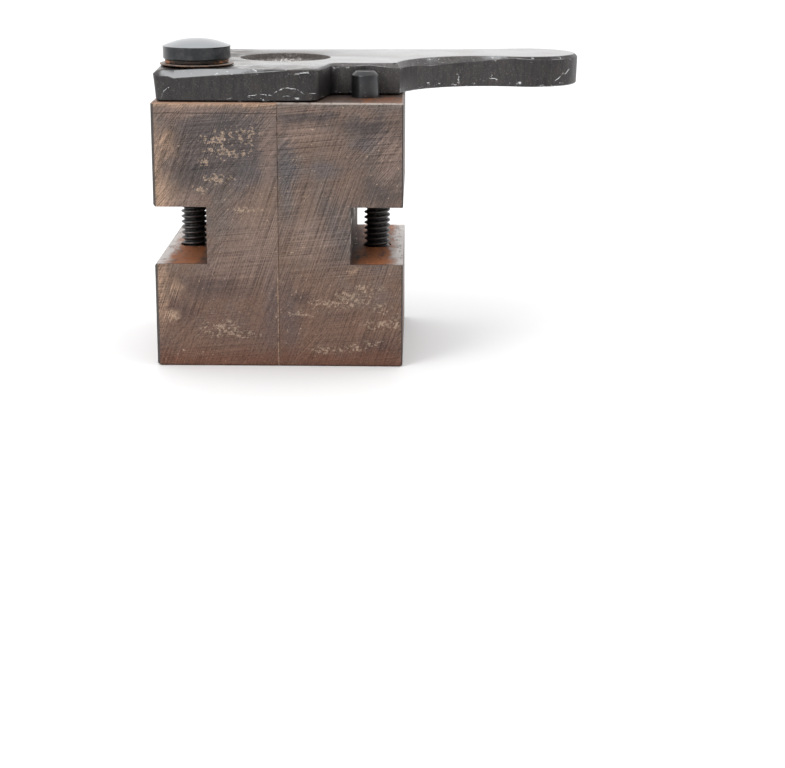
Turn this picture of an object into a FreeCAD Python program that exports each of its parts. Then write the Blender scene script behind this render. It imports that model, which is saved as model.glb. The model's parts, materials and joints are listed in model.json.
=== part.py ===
"""Two-part hand casting mould with a swinging sprue plate, without its tong handles.

Frame: +Z up, +X along the sprue plate's handle, -Y to the front. The origin is the middle
of the bottom face, on the parting plane of the two halves.
All lengths are millimetres and all angles are degrees.
"""

import math
import os

import FreeCAD
import Part

# Mould block, the two halves closed
BLOCK_WIDTH = 38.1
BLOCK_DEPTH = 34.925
BLOCK_HEIGHT = 40.8
LEFT_EDGE_BREAK = 0.45
RIGHT_EDGE_BREAK = 0.2
LEFT_SLOT_MOUTH_BREAK = 0.3
RIGHT_SLOT_MOUTH_BREAK = 0.06
TOP_EDGE_BREAK = 0.25
BOTTOM_EDGE_BREAK = 0.3
SEAM_EDGE_BREAK = 0.07

# Side slots that take the jaws of the tong handles
SLOT_DEPTH = 8.1
SLOT_FLOOR = 16.1
SLOT_HEIGHT = 8.85

# Handle screws, vertical, across the slots
HANDLE_SCREW_X = 14.75
HANDLE_SCREW_Y = -0.9
HANDLE_SCREW_RADIUS = 2.083
HANDLE_SCREW_TIP = 33.0
HANDLE_HEAD_RADIUS = 3.1
HANDLE_HEAD_HEIGHT = 2.3
HANDLE_HEAD_RECESS = 0.3
COUNTERBORE_RADIUS = 3.35
CLEARANCE_HOLE_RADIUS = 2.25

# Slug cavity on the parting plane, a little behind the middle, and the funnel above it
CAVITY_Y = 3.0
CAVITY_MOUTH_RADIUS = 5.75
CAVITY_NOSE_RADIUS = 5.6
CAVITY_DEPTH = 17.6

# Vent lines scratched across both parting faces
VENT_COUNT = 7
VENT_FIRST_HEIGHT = 25.0
VENT_PITCH = 2.2
VENT_WIDTH = 0.25
VENT_DEPTH = 0.06

# Guide pins, pressed into the left half and sliding in the right half
GUIDE_PIN_RADIUS = 2.0
GUIDE_PIN_BURIED = 6.5
GUIDE_PIN_PROUD = 5.5
GUIDE_PIN_POINT = 0.8
GUIDE_PIN_PLACES = {"front_guide_pin": (-12.0, 30.0), "rear_guide_pin": (12.0, 10.0)}

# Sprue plate outline
PLATE_LIFT = 0.1
PLATE_THICKNESS = 4.8
PLATE_LEFT = -18.7
PLATE_FRONT = -17.3
PLATE_BACK_LEFT = 16.8
PLATE_FRONT_CORNER_RADIUS = 1.5
PLATE_BACK_CORNER_RADIUS = 6.0
NOSE_X = 6.0
NOSE_RADIUS = 2.2
NOTCH_INNER_X = 7.9
NOTCH_WALL_Y = -6.8
NOTCH_FILLET_RADIUS = 1.6
WAIST_CENTRE = (32.6, -8.5)
WAIST_RADIUS = 14.3
THUMB_RADIUS = 8.2
THUMB_BEARING = 73.1
BACK_BEND = (28.0, 19.2)
BACK_BEND_RADIUS = 20.0
PLATE_EDGE_BREAK = 0.3

# Pour hole, a funnel over a short straight throat
FUNNEL_RADIUS = 7.2
THROAT_RADIUS = 2.4
THROAT_HEIGHT = 0.8

# Pivot of the sprue plate
PIVOT = (-12.65, -10.3)
PIVOT_SHANK_RADIUS = 3.0
PIVOT_THREAD_RADIUS = 2.5
PIVOT_THREAD_DEPTH = 10.0
PIVOT_HEAD_RADIUS = 5.15
PIVOT_HEAD_SIDE = 1.95
PIVOT_HEAD_DOME = 1.1
FLAT_WASHER_RADIUS = 5.65
FLAT_WASHER_THICKNESS = 0.3
SPRING_WASHER_RADIUS = 4.85
SPRING_WASHER_THICKNESS = 0.65
SPRING_WASHER_SLIT = 0.8
WASHER_SEAT_GAP = 0.05

# Lock screw that holds the pivot screw's setting, in the left side face
LOCK_SCREW_RADIUS = 1.75
LOCK_SCREW_Z = 33.7
LOCK_SCREW_PROUD = 0.95
LOCK_SCREW_POINT = 0.35

# Stop pin of the sprue plate, pressed into the right half
STOP_PIN_X = 13.07
STOP_PIN_RADIUS = 2.15
STOP_PIN_GAP = 0.1
STOP_PIN_HEIGHT = 4.0
STOP_PIN_BURIED = 5.0
STOP_PIN_CHAMFER = 0.7

# Shared small sizes
SCREWDRIVER_SLOT_WIDTH = 0.8
SCREWDRIVER_SLOT_DEPTH = 1.0
HOLE_EASE = 0.02
RUNNING_CLEARANCE = 0.05
CUT_OVERRUN = 1.0

# Worked out from the sizes above
HALF_WIDTH = BLOCK_WIDTH / 2
HALF_DEPTH = BLOCK_DEPTH / 2
SLOT_CEILING = SLOT_FLOOR + SLOT_HEIGHT
SLOT_WALL_X = HALF_WIDTH - SLOT_DEPTH
PLATE_BOTTOM = BLOCK_HEIGHT + PLATE_LIFT
PLATE_TOP = PLATE_BOTTOM + PLATE_THICKNESS
FLAT_WASHER_BOTTOM = PLATE_TOP + WASHER_SEAT_GAP
SPRING_WASHER_BOTTOM = FLAT_WASHER_BOTTOM + FLAT_WASHER_THICKNESS
PIVOT_HEAD_BOTTOM = SPRING_WASHER_BOTTOM + SPRING_WASHER_THICKNESS
STOP_PIN_Y = NOTCH_WALL_Y - STOP_PIN_GAP - STOP_PIN_RADIUS

UP = FreeCAD.Vector(0, 0, 1)
RIGHT = FreeCAD.Vector(1, 0, 0)


def box(low, high):
    """Axis-aligned box between two corners."""
    size = [b - a for a, b in zip(low, high)]
    return Part.makeBox(*size, FreeCAD.Vector(*low))


def cylinder(radius, start, length, direction=UP):
    """Cylinder that starts at a point and runs along a direction."""
    return Part.makeCylinder(radius, length, FreeCAD.Vector(*start), direction)


def ring(outer, inner, start, length):
    """Flat ring about a vertical axis."""
    return cylinder(outer, start, length).cut(cylinder(inner, start, length))


def prism(points, bottom, height):
    """Upright prism over a closed outline of plan points."""
    corners = [FreeCAD.Vector(x, y, bottom) for x, y in points]
    outline = Part.makePolygon(corners + corners[:1])
    return Part.Face(outline).extrude(UP * height)


def revolved(profile):
    """Solid of revolution about the cavity's axis from (radius, height) points."""
    corners = [FreeCAD.Vector(radius, CAVITY_Y, height) for radius, height in profile]
    outline = Part.makePolygon(corners + corners[:1])
    return Part.Face(outline).revolve(FreeCAD.Vector(0, CAVITY_Y, 0), UP, 360)


def upright_edges(solid, places, reach=0.01):
    """The straight vertical edges that stand at the given plan points."""
    found = []
    for edge in solid.Edges:
        low, high = edge.BoundBox.ZMin, edge.BoundBox.ZMax
        for x, y in places:
            offset = math.hypot(edge.CenterOfMass.x - x, edge.CenterOfMass.y - y)
            if high - low > reach and offset < reach:
                found.append(edge)
    return found


def edges_in_box(solid, low, high):
    """The edges that lie wholly inside a box."""
    region = FreeCAD.BoundBox(*low, *high)
    return [edge for edge in solid.Edges if region.isInside(edge.BoundBox)]


def cavity():
    """The space of the cast slug: slightly tapered, with a round nose pointing down."""
    nose_centre = BLOCK_HEIGHT - CAVITY_DEPTH + CAVITY_NOSE_RADIUS
    mouth_top = BLOCK_HEIGHT + CUT_OVERRUN
    barrel = Part.makeCone(
        CAVITY_NOSE_RADIUS,
        CAVITY_MOUTH_RADIUS,
        mouth_top - nose_centre,
        FreeCAD.Vector(0, CAVITY_Y, nose_centre),
    )
    nose = Part.makeSphere(CAVITY_NOSE_RADIUS, FreeCAD.Vector(0, CAVITY_Y, nose_centre))
    return barrel.fuse(nose)


def vent_lines():
    """Shallow grooves along Y across the parting plane."""
    reach = HALF_DEPTH + CUT_OVERRUN
    grooves = []
    for index in range(VENT_COUNT):
        low = VENT_FIRST_HEIGHT + index * VENT_PITCH
        grooves.append(
            box((-VENT_DEPTH, -reach, low), (VENT_DEPTH, reach, low + VENT_WIDTH))
        )
    return grooves


def handle_screw_hole(side):
    """Counterbore, clearance hole and threaded hole of one handle screw."""
    place = (side * HANDLE_SCREW_X, HANDLE_SCREW_Y)
    head_space = HANDLE_HEAD_RECESS + HANDLE_HEAD_HEIGHT
    counterbore = cylinder(COUNTERBORE_RADIUS, (*place, -CUT_OVERRUN), head_space + CUT_OVERRUN)
    clearance = cylinder(CLEARANCE_HOLE_RADIUS, (*place, 0), SLOT_CEILING)
    thread = cylinder(
        HANDLE_SCREW_RADIUS + HOLE_EASE,
        (*place, SLOT_FLOOR),
        HANDLE_SCREW_TIP - SLOT_FLOOR + HOLE_EASE,
    )
    return [counterbore, clearance, thread]


def half_blank(side, outer_break, mouth_break):
    """One half of the block with its side slot and broken edges, before any hole."""
    low_x, high_x = sorted((0, side * HALF_WIDTH))
    blank = box((low_x, -HALF_DEPTH, 0), (high_x, HALF_DEPTH, BLOCK_HEIGHT))

    slot_low, slot_high = sorted((side * SLOT_WALL_X, side * (HALF_WIDTH + CUT_OVERRUN)))
    reach = HALF_DEPTH + CUT_OVERRUN
    blank = blank.cut(box((slot_low, -reach, SLOT_FLOOR), (slot_high, reach, SLOT_CEILING)))

    outer = [(side * HALF_WIDTH, y) for y in (-HALF_DEPTH, HALF_DEPTH)]
    blank = blank.makeChamfer(outer_break, upright_edges(blank, outer))
    seam = [(0, y) for y in (-HALF_DEPTH, HALF_DEPTH)]
    blank = blank.makeChamfer(SEAM_EDGE_BREAK, upright_edges(blank, seam))
    for height in (SLOT_FLOOR, SLOT_CEILING):
        blank = blank.makeChamfer(mouth_break, slot_mouth_edges(blank, side, height))
    for height, edge_break in ((BLOCK_HEIGHT, TOP_EDGE_BREAK), (0, BOTTOM_EDGE_BREAK)):
        blank = blank.makeChamfer(edge_break, rim_edges(blank, height))
    return blank


def slot_mouth_edges(blank, side, height):
    """The edge along Y where the slot's floor or ceiling meets the outer side face."""
    x = side * HALF_WIDTH
    return edges_in_box(
        blank,
        (x - 0.01, -BLOCK_DEPTH, height - 0.01),
        (x + 0.01, BLOCK_DEPTH, height + 0.01),
    )


def rim_edges(blank, height):
    """The edges round the top or bottom face, apart from the one on the parting plane."""
    level = edges_in_box(
        blank,
        (-BLOCK_WIDTH, -BLOCK_DEPTH, height - 0.01),
        (BLOCK_WIDTH, BLOCK_DEPTH, height + 0.01),
    )
    return [edge for edge in level if abs(edge.CenterOfMass.x) > SEAM_EDGE_BREAK]


def left_block():
    """Left half: cavity, pivot screw hole, lock screw hole and pressed guide pins."""
    half = half_blank(-1, LEFT_EDGE_BREAK, LEFT_SLOT_MOUTH_BREAK)
    cuts = [cavity(), *vent_lines(), *handle_screw_hole(-1)]
    cuts.append(
        cylinder(
            PIVOT_THREAD_RADIUS + HOLE_EASE,
            (*PIVOT, BLOCK_HEIGHT - PIVOT_THREAD_DEPTH - HOLE_EASE),
            PIVOT_THREAD_DEPTH + CUT_OVERRUN,
        )
    )
    cuts.append(
        cylinder(
            LOCK_SCREW_RADIUS + HOLE_EASE,
            (-HALF_WIDTH - CUT_OVERRUN, PIVOT[1], LOCK_SCREW_Z),
            HALF_WIDTH + CUT_OVERRUN + PIVOT[0],
            RIGHT,
        )
    )
    for y, z in GUIDE_PIN_PLACES.values():
        cuts.append(
            cylinder(
                GUIDE_PIN_RADIUS,
                (-GUIDE_PIN_BURIED, y, z),
                GUIDE_PIN_BURIED + CUT_OVERRUN,
                RIGHT,
            )
        )
    return half.cut(cuts)


def right_block():
    """Right half: cavity, stop pin hole and the holes that slide on the guide pins."""
    half = half_blank(1, RIGHT_EDGE_BREAK, RIGHT_SLOT_MOUTH_BREAK)
    cuts = [cavity(), *vent_lines(), *handle_screw_hole(1)]
    cuts.append(
        cylinder(
            STOP_PIN_RADIUS,
            (STOP_PIN_X, STOP_PIN_Y, BLOCK_HEIGHT - STOP_PIN_BURIED),
            STOP_PIN_BURIED + CUT_OVERRUN,
        )
    )
    for y, z in GUIDE_PIN_PLACES.values():
        cuts.append(
            cylinder(
                GUIDE_PIN_RADIUS + RUNNING_CLEARANCE,
                (-CUT_OVERRUN, y, z),
                CUT_OVERRUN + GUIDE_PIN_PROUD + GUIDE_PIN_POINT,
                RIGHT,
            )
        )
    return half.cut(cuts)


def guide_pin(y, z):
    """Plain dowel along +X with a tapered point."""
    straight = GUIDE_PIN_BURIED + GUIDE_PIN_PROUD - GUIDE_PIN_POINT
    shank = cylinder(GUIDE_PIN_RADIUS, (-GUIDE_PIN_BURIED, y, z), straight, RIGHT)
    point = Part.makeCone(
        GUIDE_PIN_RADIUS,
        GUIDE_PIN_RADIUS / 2,
        GUIDE_PIN_POINT,
        FreeCAD.Vector(GUIDE_PIN_PROUD - GUIDE_PIN_POINT, y, z),
        RIGHT,
    )
    return shank.fuse(point).removeSplitter()


def handle_screw(side):
    """Slotted screw that goes up through the lower jaw and into the upper one."""
    place = (side * HANDLE_SCREW_X, HANDLE_SCREW_Y)
    head_top = HANDLE_HEAD_RECESS + HANDLE_HEAD_HEIGHT
    head = cylinder(HANDLE_HEAD_RADIUS, (*place, HANDLE_HEAD_RECESS), HANDLE_HEAD_HEIGHT)
    shank = cylinder(HANDLE_SCREW_RADIUS, (*place, head_top), HANDLE_SCREW_TIP - head_top)
    slot = box(
        (
            place[0] - HANDLE_HEAD_RADIUS,
            place[1] - SCREWDRIVER_SLOT_WIDTH / 2,
            HANDLE_HEAD_RECESS - CUT_OVERRUN,
        ),
        (
            place[0] + HANDLE_HEAD_RADIUS,
            place[1] + SCREWDRIVER_SLOT_WIDTH / 2,
            HANDLE_HEAD_RECESS + SCREWDRIVER_SLOT_DEPTH,
        ),
    )
    return head.fuse(shank).removeSplitter().cut(slot)


def thumb_centre():
    """Centre of the handle's round end, placed so that it meets the waist arc smoothly."""
    bearing = math.radians(THUMB_BEARING)
    span = WAIST_RADIUS + THUMB_RADIUS
    return (
        WAIST_CENTRE[0] + span * math.cos(bearing),
        WAIST_CENTRE[1] + span * math.sin(bearing),
    )


def tangent_point(outside, centre, radius):
    """Where the line from an outside point touches a circle on its left-hand side."""
    dx, dy = centre[0] - outside[0], centre[1] - outside[1]
    distance = math.hypot(dx, dy)
    length = math.sqrt(distance**2 - radius**2)
    heading = math.atan2(dy, dx) + math.asin(radius / distance)
    return outside[0] + length * math.cos(heading), outside[1] + length * math.sin(heading)


def plate_blank():
    """The plate's outline at full thickness, with a notch, a waist and a round end."""
    end = thumb_centre()
    bearing = math.radians(THUMB_BEARING)
    meeting_x = WAIST_CENTRE[0] + WAIST_RADIUS * math.cos(bearing)
    back_touch = tangent_point(BACK_BEND, end, THUMB_RADIUS)
    outline = [
        (PLATE_LEFT, PLATE_FRONT),
        (NOSE_X, PLATE_FRONT),
        (NOTCH_INNER_X, NOTCH_WALL_Y),
        (meeting_x, NOTCH_WALL_Y),
        (meeting_x, end[1]),
        back_touch,
        BACK_BEND,
        (PLATE_LEFT, PLATE_BACK_LEFT),
    ]
    blank = prism(outline, PLATE_BOTTOM, PLATE_THICKNESS)
    waist = cylinder(WAIST_RADIUS, (*WAIST_CENTRE, PLATE_BOTTOM), PLATE_THICKNESS)
    thumb = cylinder(THUMB_RADIUS, (*end, PLATE_BOTTOM), PLATE_THICKNESS)
    blank = blank.cut(waist).fuse(thumb).removeSplitter()

    roundings = [
        (PLATE_FRONT_CORNER_RADIUS, outline[0]),
        (NOSE_RADIUS, outline[1]),
        (NOTCH_FILLET_RADIUS, outline[2]),
        (BACK_BEND_RADIUS, outline[6]),
        (PLATE_BACK_CORNER_RADIUS, outline[7]),
    ]
    for radius, corner in roundings:
        blank = blank.makeFillet(radius, upright_edges(blank, [corner]))
    return blank


def sprue_plate():
    """Sprue plate with its funnel, throat and pivot hole."""
    blank = plate_blank()
    everywhere = 100
    top_edges = edges_in_box(
        blank,
        (-everywhere, -everywhere, PLATE_TOP - 0.01),
        (everywhere, everywhere, PLATE_TOP + 0.01),
    )
    blank = blank.makeChamfer(PLATE_EDGE_BREAK, top_edges)
    funnel_bottom = PLATE_BOTTOM + THROAT_HEIGHT
    funnel = revolved(
        [
            (0, PLATE_BOTTOM - CUT_OVERRUN),
            (THROAT_RADIUS, PLATE_BOTTOM - CUT_OVERRUN),
            (THROAT_RADIUS, funnel_bottom),
            (FUNNEL_RADIUS, PLATE_TOP),
            (FUNNEL_RADIUS, PLATE_TOP + CUT_OVERRUN),
            (0, PLATE_TOP + CUT_OVERRUN),
        ]
    )
    pivot_hole = cylinder(
        PIVOT_SHANK_RADIUS + RUNNING_CLEARANCE, (*PIVOT, PLATE_BOTTOM), PLATE_THICKNESS
    )
    return blank.cut([funnel, pivot_hole])


def pivot_screw():
    """Shoulder screw with a domed round head and a smaller threaded end."""
    thread = cylinder(
        PIVOT_THREAD_RADIUS, (*PIVOT, BLOCK_HEIGHT - PIVOT_THREAD_DEPTH), PIVOT_THREAD_DEPTH
    )
    shank = cylinder(PIVOT_SHANK_RADIUS, (*PIVOT, BLOCK_HEIGHT), PIVOT_HEAD_BOTTOM - BLOCK_HEIGHT)
    head = cylinder(PIVOT_HEAD_RADIUS, (*PIVOT, PIVOT_HEAD_BOTTOM), PIVOT_HEAD_SIDE)

    rim = PIVOT_HEAD_BOTTOM + PIVOT_HEAD_SIDE
    ball_radius = (PIVOT_HEAD_RADIUS**2 + PIVOT_HEAD_DOME**2) / (2 * PIVOT_HEAD_DOME)
    ball = Part.makeSphere(
        ball_radius, FreeCAD.Vector(*PIVOT, rim + PIVOT_HEAD_DOME - ball_radius)
    )
    dome = cylinder(PIVOT_HEAD_RADIUS, (*PIVOT, rim), PIVOT_HEAD_DOME).common(ball)
    return thread.fuse([shank, head, dome]).removeSplitter()


def flat_washer():
    """Plain washer on top of the plate."""
    inner = PIVOT_SHANK_RADIUS + RUNNING_CLEARANCE
    return ring(FLAT_WASHER_RADIUS, inner, (*PIVOT, FLAT_WASHER_BOTTOM), FLAT_WASHER_THICKNESS)


def spring_washer():
    """Split spring washer between the flat washer and the screw's head."""
    inner = PIVOT_SHANK_RADIUS + RUNNING_CLEARANCE
    washer = ring(
        SPRING_WASHER_RADIUS, inner, (*PIVOT, SPRING_WASHER_BOTTOM), SPRING_WASHER_THICKNESS
    )
    half_slit = SPRING_WASHER_SLIT / 2
    slit = box(
        (PIVOT[0] - half_slit, PIVOT[1], SPRING_WASHER_BOTTOM),
        (PIVOT[0] + half_slit, PIVOT[1] + SPRING_WASHER_RADIUS + CUT_OVERRUN, PIVOT_HEAD_BOTTOM),
    )
    return washer.cut(slit)


def pivot_lock_screw():
    """Headless slotted screw that bears on the pivot screw's thread."""
    outer_end = -HALF_WIDTH - LOCK_SCREW_PROUD
    inner_end = PIVOT[0] - PIVOT_THREAD_RADIUS
    body = cylinder(
        LOCK_SCREW_RADIUS,
        (outer_end, PIVOT[1], LOCK_SCREW_Z),
        inner_end - outer_end - HOLE_EASE,
        RIGHT,
    )
    rims = [edge for edge in body.Edges if edge.Length > LOCK_SCREW_RADIUS * 5]
    body = body.makeChamfer(LOCK_SCREW_POINT, rims)
    half_slot = SCREWDRIVER_SLOT_WIDTH / 2
    slot = box(
        (outer_end - CUT_OVERRUN, PIVOT[1] - half_slot, LOCK_SCREW_Z - LOCK_SCREW_RADIUS),
        (
            outer_end + SCREWDRIVER_SLOT_DEPTH,
            PIVOT[1] + half_slot,
            LOCK_SCREW_Z + LOCK_SCREW_RADIUS,
        ),
    )
    return body.cut(slot)


def stop_pin():
    """Dowel with a chamfered top that the notch in the sprue plate rests against."""
    bottom = BLOCK_HEIGHT - STOP_PIN_BURIED
    straight = STOP_PIN_BURIED + STOP_PIN_HEIGHT - STOP_PIN_CHAMFER
    shank = cylinder(STOP_PIN_RADIUS, (STOP_PIN_X, STOP_PIN_Y, bottom), straight)
    point = Part.makeCone(
        STOP_PIN_RADIUS,
        STOP_PIN_RADIUS - STOP_PIN_CHAMFER,
        STOP_PIN_CHAMFER,
        FreeCAD.Vector(STOP_PIN_X, STOP_PIN_Y, bottom + straight),
    )
    return shank.fuse(point).removeSplitter()


def build():
    """Every separate piece by its node name."""
    pieces = {
        "left_block": left_block(),
        "right_block": right_block(),
        "sprue_plate": sprue_plate(),
        "pivot_screw": pivot_screw(),
        "flat_washer": flat_washer(),
        "spring_washer": spring_washer(),
        "pivot_lock_screw": pivot_lock_screw(),
        "stop_pin": stop_pin(),
        "left_handle_screw": handle_screw(-1),
        "right_handle_screw": handle_screw(1),
    }
    for name, (y, z) in GUIDE_PIN_PLACES.items():
        pieces[name] = guide_pin(y, z)
    return pieces


os.makedirs("parts", exist_ok=True)
for node, solid in build().items():
    solid.exportStep(f"parts/{node}.step")
    print(node, "valid" if solid.isValid() else "INVALID", len(solid.Solids), "solid",
          round(solid.Volume, 1), "mm3")
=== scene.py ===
"""The looks of a two-part hand casting mould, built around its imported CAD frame.

The CAD frame is in metres. Sizes here are in millimetres, and mesh() turns them into metres.
"""

import json
import math

import bmesh
import bpy
from mathutils import Matrix, Vector, noise


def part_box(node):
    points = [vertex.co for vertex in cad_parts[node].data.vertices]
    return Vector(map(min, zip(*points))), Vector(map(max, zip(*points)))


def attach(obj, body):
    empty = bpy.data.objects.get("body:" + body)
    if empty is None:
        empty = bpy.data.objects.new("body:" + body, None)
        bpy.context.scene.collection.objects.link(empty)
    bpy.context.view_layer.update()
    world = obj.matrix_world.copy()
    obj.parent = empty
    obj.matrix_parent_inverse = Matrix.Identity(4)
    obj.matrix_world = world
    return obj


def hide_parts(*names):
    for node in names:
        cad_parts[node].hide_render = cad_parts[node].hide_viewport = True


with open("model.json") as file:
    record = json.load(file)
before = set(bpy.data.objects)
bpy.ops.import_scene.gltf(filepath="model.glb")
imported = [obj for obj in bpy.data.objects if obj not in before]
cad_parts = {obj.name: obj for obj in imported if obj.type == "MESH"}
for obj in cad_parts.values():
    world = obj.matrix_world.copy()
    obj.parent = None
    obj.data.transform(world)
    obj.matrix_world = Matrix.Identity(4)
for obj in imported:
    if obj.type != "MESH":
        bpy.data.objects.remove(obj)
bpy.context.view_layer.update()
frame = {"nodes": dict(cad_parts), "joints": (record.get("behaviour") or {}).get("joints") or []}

MM = 0.001
UP = Vector((0, 0, 1))


def box_mm(node):
    """Lowest and highest corner of a CAD node, in millimetres."""
    low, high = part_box(node)
    return low / MM, high / MM


LEFT_LOW, LEFT_HIGH = box_mm("left_block")
PLATE_LOW, PLATE_HIGH = box_mm("sprue_plate")
HALF_WIDTH = -LEFT_LOW.x
HALF_DEPTH = LEFT_HIGH.y
BLOCK_HEIGHT = LEFT_HIGH.z
PLATE_BOTTOM = PLATE_LOW.z
PLATE_TOP = PLATE_HIGH.z
PIVOT = Vector(frame["joints"][0]["pos_m"]) / MM
SLOT_FLOOR = 16.1
SLOT_CEILING = 24.95
SLOT_WALL_X = 10.95
PLATE_FRONT = -17.3
FUNNEL_RADIUS = 7.2
FUNNEL_Y = 3.0
SCREW_LOW, SCREW_HIGH = box_mm("right_handle_screw")
HANDLE_SCREW_X = (SCREW_LOW.x + SCREW_HIGH.x) / 2
HANDLE_SCREW_Y = (SCREW_LOW.y + SCREW_HIGH.y) / 2
SPRING_WASHER_LOW = box_mm("spring_washer")[0].z + 0.02
STEP_LINE_Z = BLOCK_HEIGHT - 1.5
SEAM_HIGHLIGHT_OFFSET = 0.14
CAVITY_REACH = 5.9
CAVITY_BOTTOM = 20.0

# A face looks along an axis when its normal's share along it is above FLAT_ENOUGH, and a point
# lies on the parting plane when it is nearer to it than ON_SEAM.
FLAT_ENOUGH = 0.6
ON_SEAM = 0.03


# ---------------------------------------------------------------------------------------
# Mesh helpers
# ---------------------------------------------------------------------------------------

def mesh(name, points, faces, sharp_angle=32):
    """A smooth-shaded mesh object from points in millimetres."""
    data = bpy.data.meshes.new(name)
    data.from_pydata([Vector(p) * MM for p in points], [], faces)
    work = bmesh.new()
    work.from_mesh(data)
    bmesh.ops.remove_doubles(work, verts=work.verts, dist=1e-7)
    bmesh.ops.recalc_face_normals(work, faces=work.faces)
    work.to_mesh(data)
    work.free()
    data.shade_smooth()
    data.set_sharp_from_angle(angle=math.radians(sharp_angle))
    piece = bpy.data.objects.new(name, data)
    bpy.context.scene.collection.objects.link(piece)
    return piece


def wrapped_faces(rows, per_row):
    """Quads between rows of points, where each row closes into a ring."""
    faces = []
    for row in range(rows - 1):
        for step in range(per_row):
            a, b = row * per_row + step, row * per_row + (step + 1) % per_row
            faces.append((a, b, b + per_row, a + per_row))
    return faces


def turned(name, profile, place, axis=UP, segments=96):
    """A solid turned from (radius, height) points, with its heights along axis from place."""
    turn = UP.rotation_difference(axis)
    points = []
    for radius, height in profile:
        for step in range(segments):
            angle = math.tau * step / segments
            local = Vector((radius * math.cos(angle), radius * math.sin(angle), height))
            points.append(Vector(place) + turn @ local)
    return mesh(name, points, wrapped_faces(len(profile), segments))


def eased(profile, ease):
    """The profile with each inner corner cut by a two-step rounding of the given size."""
    rounded = [profile[0]]
    for before, corner, after in zip(profile, profile[1:], profile[2:]):
        here = Vector(corner)
        back, ahead = Vector(before) - here, Vector(after) - here
        reach = min(ease, back.length * 0.45, ahead.length * 0.45)
        start, end = here + back.normalized() * reach, here + ahead.normalized() * reach
        for share in (0.0, 0.33, 0.67, 1.0):
            rounded.append(tuple(
                start * (1 - share) ** 2 + here * 2 * share * (1 - share) + end * share**2
            ))
    rounded.append(profile[-1])
    return rounded


def cut_by_box(piece, low, high):
    """Cuts a box out of a piece. The corners are in millimetres."""
    corners = [(x, y, z) for x in (low[0], high[0]) for y in (low[1], high[1])
               for z in (low[2], high[2])]
    sides = [(0, 1, 3, 2), (4, 6, 7, 5), (0, 4, 5, 1), (2, 3, 7, 6), (0, 2, 6, 4), (1, 5, 7, 3)]
    cutter = mesh(piece.name + "_cutter", corners, sides)
    cut = piece.modifiers.new("slot", "BOOLEAN")
    cut.object = cutter
    cut.operation = "DIFFERENCE"
    cut.solver = "EXACT"
    apply_modifiers(piece)
    bpy.data.objects.remove(cutter)


def apply_modifiers(piece):
    """Bakes a piece's modifiers into its mesh."""
    graph = bpy.context.evaluated_depsgraph_get()
    finished = bpy.data.meshes.new_from_object(piece.evaluated_get(graph))
    piece.modifiers.clear()
    piece.data = finished


def soften(piece, width, angle=28):
    """Small rounded bevels on a piece's sharp edges."""
    bevel = piece.modifiers.new("edge", "BEVEL")
    bevel.width = width * MM
    bevel.segments = 2
    bevel.limit_method = "ANGLE"
    bevel.angle_limit = math.radians(angle)
    bevel.harden_normals = True
    bevel.use_clamp_overlap = True


# ---------------------------------------------------------------------------------------
# Material helpers
# ---------------------------------------------------------------------------------------

class Value:
    """A number from a node, so that sums of nodes read like plain sums.

    A comparison gives 1 where it holds and 0 elsewhere.
    """

    def __init__(self, nodes, socket):
        self.nodes = nodes
        self.socket = socket

    def __add__(self, other):
        return self.nodes.math("ADD", self, other)

    def __sub__(self, other):
        return self.nodes.math("SUBTRACT", self, other)

    def __rsub__(self, other):
        return self.nodes.math("SUBTRACT", other, self)

    def __mul__(self, other):
        return self.nodes.math("MULTIPLY", self, other)

    def __gt__(self, other):
        return self.nodes.math("GREATER_THAN", self, other)

    def __lt__(self, other):
        return self.nodes.math("LESS_THAN", self, other)

    def __abs__(self):
        return self.nodes.math("ABSOLUTE", self, 0.0)

    __radd__ = __add__
    __rmul__ = __mul__

    def fade(self, start, end):
        """0 at start, 1 at end, smooth between. start may be above end."""
        made = self.nodes.node("ShaderNodeMapRange", interpolation_type="SMOOTHSTEP")
        self.nodes.link(self, made.inputs["Value"])
        made.inputs["From Min"].default_value = min(start, end)
        made.inputs["From Max"].default_value = max(start, end)
        made.inputs["To Min"].default_value = 0.0 if start < end else 1.0
        made.inputs["To Max"].default_value = 1.0 if start < end else 0.0
        return Value(self.nodes, made.outputs["Result"])


class Colour:
    """A colour from a node."""

    def __init__(self, nodes, socket):
        self.nodes = nodes
        self.socket = socket

    def stained(self, other, share):
        """This colour with another one laid over it, by share."""
        return self.nodes.blend(share, self, other)

    def shaded(self, amount):
        """This colour multiplied by a number."""
        return self.nodes.brighten(self, amount)


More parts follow.
